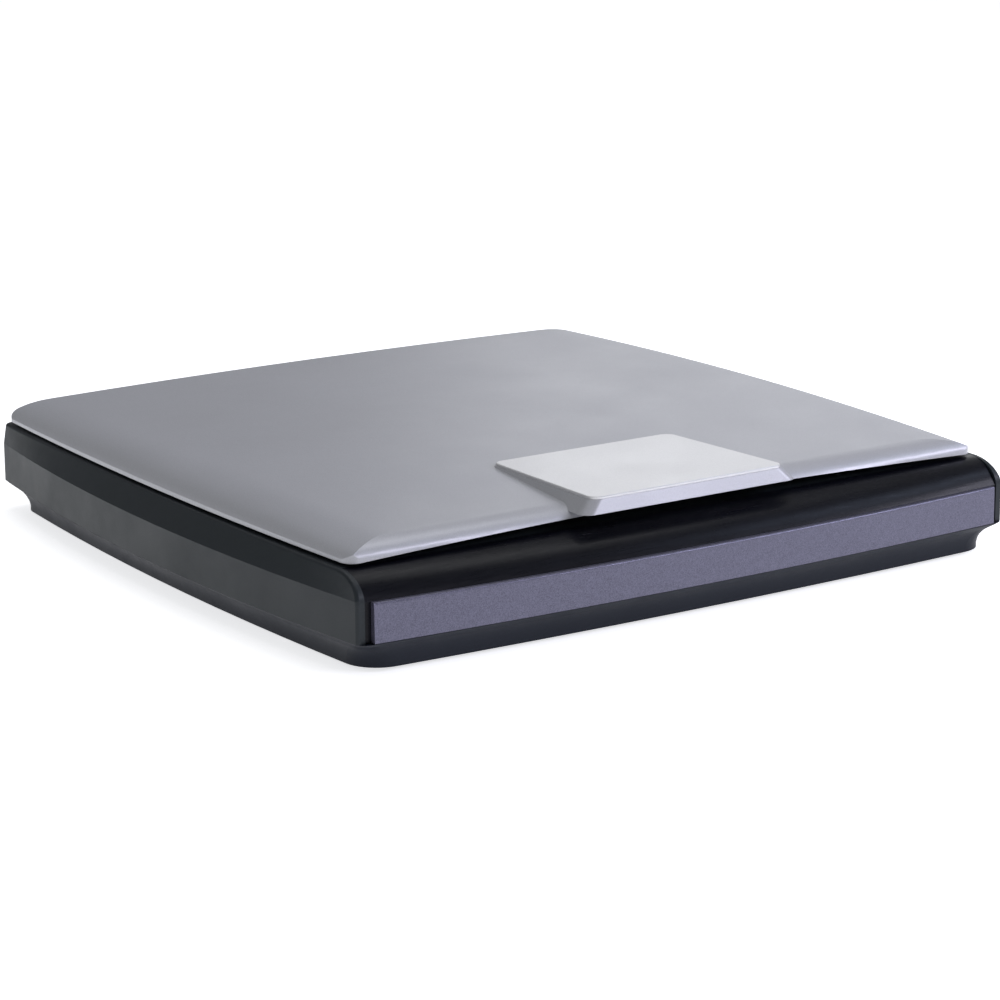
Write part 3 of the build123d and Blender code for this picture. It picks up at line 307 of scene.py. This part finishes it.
slot_materials = {
    "lid_silver": painted("lid_silver", (0.44, 0.445, 0.475), 0.40, 0.30, sparkle=0.16,
                          Specular_IOR_Level=0.45),
    "plate_silver": painted("plate_silver", (0.71, 0.71, 0.72), 0.34, 0.45, sparkle=0.14),
    "trim_metallic": painted("trim_metallic", (0.106, 0.104, 0.152), 0.32, 0.48, flake=2900.0,
                             sparkle=0.50, depth=0.00004),
    "gloss_black": glossy_black("gloss_black"),
    "housing_plastic": moulded("housing_plastic", (0.017, 0.0215, 0.0255), 0.42,
                               Specular_IOR_Level=0.22),
    "tray_plastic": moulded("tray_plastic", (0.010, 0.0125, 0.020), 0.42, Specular_IOR_Level=0.13),
    "black_plastic": moulded("black_plastic", (0.016, 0.016, 0.018), 0.48),
    "component_black": moulded("component_black", (0.022, 0.022, 0.025), 0.38, grain=5000.0),
    "white_plastic": moulded("white_plastic", (0.80, 0.80, 0.78), 0.36, spread=0.03),
    "black_tape": moulded("black_tape", (0.012, 0.012, 0.012), 0.62, grain=1500.0, depth=0.00006),
    "light_bar": light_guide("light_bar"),
    "glass": clear_glass("glass"),
    "mirror": mirror("mirror"),
    "steel_rod": metal("steel_rod", (0.62, 0.62, 0.63), 0.20, (1.0, 0.04, 1.0)),
    "motor_steel": metal("motor_steel", (0.50, 0.50, 0.50), 0.34, (1.0, 1.0, 0.1), scale=420.0),
    "screw_steel": metal("screw_steel", (0.44, 0.44, 0.45), 0.30, (1.0, 1.0, 0.3), scale=1500.0),
    "brass": metal("brass", (0.70, 0.50, 0.23), 0.28, (0.1, 1.0, 1.0), scale=900.0),
    "belt_rubber": soft_rubber("belt_rubber", (0.013, 0.013, 0.014)),
    "rubber": soft_rubber("rubber", (0.020, 0.020, 0.021)),
    "circuit_board": circuit_board("circuit_board"),
    "ribbon": flat_cable("ribbon"),
    "foam": foam("foam"),
}

for part in frame["record"]["subparts"]:
    mesh = cad[part["node"]].data
    mesh.materials.clear()
    mesh.materials.append(slot_materials[part["material_slot"]])


# ================================================================ foam pad of the lid
foam_corner = 0.004
foam_edge = 0.0012
foam_cuts = 20                # the sides are divided, so that they can be wavy
foam_draw_in = 0.00035
foam_waves = 71.0             # radians a metre
foam_shift = 1.3              # radians between the front sides and the flank sides


def sort_place(place):
    """A place as one number, to sort the parts of a mesh by."""
    return place.x * 1e6 + place.y * 1e3 + place.z


def foam_block():
    """Cut foam sheet with rounded, slightly uneven edges, in place of the plain CAD block."""
    low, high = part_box("foam_pad")
    size = high - low
    centre = (low + high) / 2
    form = bmesh.new()
    bmesh.ops.create_cube(form, size=1.0)
    bmesh.ops.scale(form, vec=(size.x, size.y, size.z), verts=form.verts)
    upright = [e for e in form.edges if abs(e.verts[0].co.z - e.verts[1].co.z) > size.z / 2]
    bmesh.ops.bevel(form, geom=upright, offset=foam_corner, segments=6, affect="EDGES")
    rim = [e for e in form.edges if abs(e.verts[0].co.z - e.verts[1].co.z) < 1e-6]
    bmesh.ops.bevel(form, geom=rim, offset=foam_edge, segments=4, affect="EDGES")
    for cut in range(1 - foam_cuts // 2, foam_cuts // 2):
        for direction, span in ((Vector((1, 0, 0)), size.x), (Vector((0, 1, 0)), size.y)):
            geometry = form.verts[:] + form.edges[:] + form.faces[:]
            bmesh.ops.bisect_plane(form, geom=geometry, plane_co=direction * (span * cut / foam_cuts),
                                   plane_no=direction)
    # the knife leaves the sides slightly wavy
    for vert in form.verts:
        for axis, span in ((0, size.x), (1, size.y)):
            other = vert.co[1 - axis]
            if abs(abs(vert.co[axis]) - span / 2) < 1e-5:
                wave = 0.5 + 0.5 * math.sin(other * foam_waves + axis * foam_shift)
                vert.co[axis] -= math.copysign(foam_draw_in * wave, vert.co[axis])
    # bevels and cuts leave an order that changes from run to run
    form.verts.sort(key=lambda vert: sort_place(vert.co))
    form.faces.sort(key=lambda face: sort_place(face.calc_center_median()))
    bmesh.ops.recalc_face_normals(form, faces=form.faces)
    mesh = bpy.data.meshes.new("lid_foam")
    form.to_mesh(mesh)
    form.free()
    for polygon in mesh.polygons:
        polygon.use_smooth = True
    block = bpy.data.objects.new("lid_foam", mesh)
    bpy.context.scene.collection.objects.link(block)
    mesh.transform(Matrix.Translation(centre))
    mesh.materials.append(slot_materials["foam"])
    return block


pad = foam_block()
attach(pad, "lid")
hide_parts("foam_pad")


# ================================================================ flat cable of the carriage
ribbon_thick = 0.0003
ribbon_bend = 0.0014          # where it leaves the board and where it meets the floor
ribbon_fold = 0.0017          # where it turns back under the carriage
board_reach = 0.003           # from the drop to its socket
clamp_offset = 0.004          # from the middle of the carriage to the end of the cable
rolling_steps = 40            # divisions of the run that rolls out


def arc_points(centre, radius, first, last, count=8):
    """Points (y, z) round a centre, from the first to the last angle in degrees."""
    angles = [math.radians(first + (last - first) * i / count) for i in range(count + 1)]
    return [(centre[0] + radius * math.cos(a), centre[1] + radius * math.sin(a)) for a in angles]


def flat_strip(name, line, low_x, high_x):
    """Closed strip of cable along a line of (y, z) points."""
    verts, faces = [], []
    for i, (y, z) in enumerate(line):
        before = line[max(i - 1, 0)]
        after = line[min(i + 1, len(line) - 1)]
        run = Vector((after[0] - before[0], after[1] - before[1])).normalized()
        lift_y, lift_z = -run.y * ribbon_thick / 2, run.x * ribbon_thick / 2
        for x, sign in ((low_x, 1), (high_x, 1), (high_x, -1), (low_x, -1)):
            verts.append((x, y + lift_y * sign, z + lift_z * sign))
    for i in range(len(line) - 1):
        for j in range(4):
            k = (j + 1) % 4
            faces.append((4 * i + j, 4 * i + k, 4 * i + 4 + k, 4 * i + 4 + j))
    end = 4 * (len(line) - 1)
    faces += [(3, 2, 1, 0), (end, end + 1, end + 2, end + 3)]
    mesh = bpy.data.meshes.new(name)
    mesh.from_pydata(verts, [], faces)
    form = bmesh.new()
    form.from_mesh(mesh)
    bmesh.ops.recalc_face_normals(form, faces=form.faces)
    form.to_mesh(mesh)
    form.free()
    strip = bpy.data.objects.new(name, mesh)
    bpy.context.scene.collection.objects.link(strip)
    mesh.materials.append(slot_materials["ribbon"])
    return strip


def carriage_cable():
    """The still run on the tray floor, and the run that rolls out as the carriage moves, built here
    in one fixed place.
    """
    low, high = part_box("carriage_ribbon")
    frame_low, frame_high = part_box("carriage_frame")
    floor_run = low.z + ribbon_thick / 2
    board_run = high.z - ribbon_thick / 2
    fold_y = low.y + ribbon_thick / 2 + ribbon_fold
    drop_y = high.y - board_reach
    back_run = floor_run + 2 * ribbon_fold
    carriage_end = (frame_low.y + frame_high.y) / 2 - clamp_offset
    still = [(high.y, board_run)]
    still += arc_points((drop_y + ribbon_bend, board_run - ribbon_bend), ribbon_bend, 90, 180)
    still += arc_points((drop_y - ribbon_bend, floor_run + ribbon_bend), ribbon_bend, 0, -90)
    still += [(fold_y, floor_run)]
    rolling = arc_points((fold_y, floor_run + ribbon_fold), ribbon_fold, -90, -270, 14)
    for i in range(1, rolling_steps + 1):
        rolling.append((fold_y + (carriage_end - fold_y) * i / rolling_steps, back_run))
    lower = flat_strip("ribbon_still_run", still, low.x, high.x)
    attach(lower, "base")
    upper = flat_strip("ribbon_rolling_run", rolling, low.x, high.x)
    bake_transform(upper)
    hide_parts("carriage_ribbon")


carriage_cable()


# ================================================================ floor and light
floor_reach = 20.0
floor_glow = 0.72             # keeps the sweep white without a strong lamp on the object
sky_glow = 0.25


def floor():
    """Plain pale sweep under the object."""
    reach = floor_reach
    mesh = bpy.data.meshes.new("floor")
    corners = [(-reach, -reach, 0), (reach, -reach, 0), (reach, reach, 0), (-reach, reach, 0)]
    mesh.from_pydata(corners, [], [(0, 1, 2, 3)])
    plane = bpy.data.objects.new("floor", mesh)
    bpy.context.scene.collection.objects.link(plane)
    material, tree, principled = shader("floor", Roughness=0.7, Specular_IOR_Level=0.1)
    place = coordinates(tree)
    tree.links.new(ramp(tree, noise(tree, place, 6.0, 2.0), (0.3, 0.93), (0.7, 0.95)),
                   principled.inputs["Base Color"])
    principled.inputs["Emission Color"].default_value = (0.98, 0.985, 1.0, 1.0)
    principled.inputs["Emission Strength"].default_value = floor_glow
    mesh.materials.append(material)


def soft_light(name, place, aim, width, height, power, colour):
    """Area lamp at a place, turned to its aim."""
    lamp = bpy.data.lights.new(name, "AREA")
    lamp.shape = "RECTANGLE"
    lamp.size = width
    lamp.size_y = height
    lamp.energy = power
    lamp.color = colour
    holder = bpy.data.objects.new(name, lamp)
    holder.location = place
    holder.rotation_mode = "QUATERNION"
    holder.rotation_quaternion = (Vector(aim) - Vector(place)).to_track_quat("-Z", "Y")
    bpy.context.scene.collection.objects.link(holder)


def sky():
    """Even, faintly blue light from all round."""
    world = bpy.data.worlds.new("studio")
    world.use_nodes = True
    background = world.node_tree.nodes["Background"]
    background.inputs["Color"].default_value = (0.97, 0.98, 1.0, 1.0)
    background.inputs["Strength"].default_value = sky_glow
    bpy.context.scene.world = world


floor()
sky()
# name, place, aim, width, height, power in watts, colour
soft_light("key_front", (1.25, -1.35, 0.88), (0, -0.15, 0.03), 1.2, 0.36, 18.0, (0.84, 0.83, 1.0))
soft_light("back_right", (1.70, 1.38, 0.76), (0, 0, 0.03), 1.5, 0.7, 4.8, (0.97, 0.98, 1.0))
soft_light("overhead", (0.3, 0.3, 2.0), (0, 0, 0), 1.6, 1.6, 14.5, (0.97, 0.98, 1.0))
soft_light("right_high", (1.40, -0.60, 1.35), (0.1, -0.17, 0.04), 0.5, 0.5, 2.6, (0.66, 0.76, 1.0))
soft_light("fill_left", (-1.3, -0.5, 0.8), (0, -0.1, 0.03), 0.8, 0.6, 0.6, (0.95, 1.0, 0.99))


# ================================================================ camera
camera_place = (-0.8933, -1.3471, 0.43425)
camera_heading = 33.809       # degrees from +Y towards +X
camera_pitch = 14.550         # degrees down
camera_roll = -0.239
camera_lens = 118.99          # millimetres


def camera():
    """Three-quarter view from the left front, a little above the lid."""
    heading = math.radians(camera_heading)
    pitch = math.radians(camera_pitch)
    roll = math.radians(camera_roll)
    forward = Vector((math.sin(heading) * math.cos(pitch), math.cos(heading) * math.cos(pitch),
                      -math.sin(pitch)))
    level = Vector((math.cos(heading), -math.sin(heading), 0.0))
    upright = level.cross(forward)
    right = level * math.cos(roll) + upright * math.sin(roll)
    up = upright * math.cos(roll) - level * math.sin(roll)
    turn = Matrix((right, up, -forward)).transposed()
    lens = bpy.data.cameras.new("camera")
    lens.sensor_width = 36.0
    lens.lens = camera_lens
    lens.clip_start = 0.05
    lens.clip_end = 60.0
    holder = bpy.data.objects.new("camera", lens)
    holder.matrix_world = Matrix.Translation(camera_place) @ turn.to_4x4()
    bpy.context.scene.collection.objects.link(holder)
    bpy.context.scene.camera = holder


camera()
bpy.context.scene.view_settings.view_transform = "Standard"
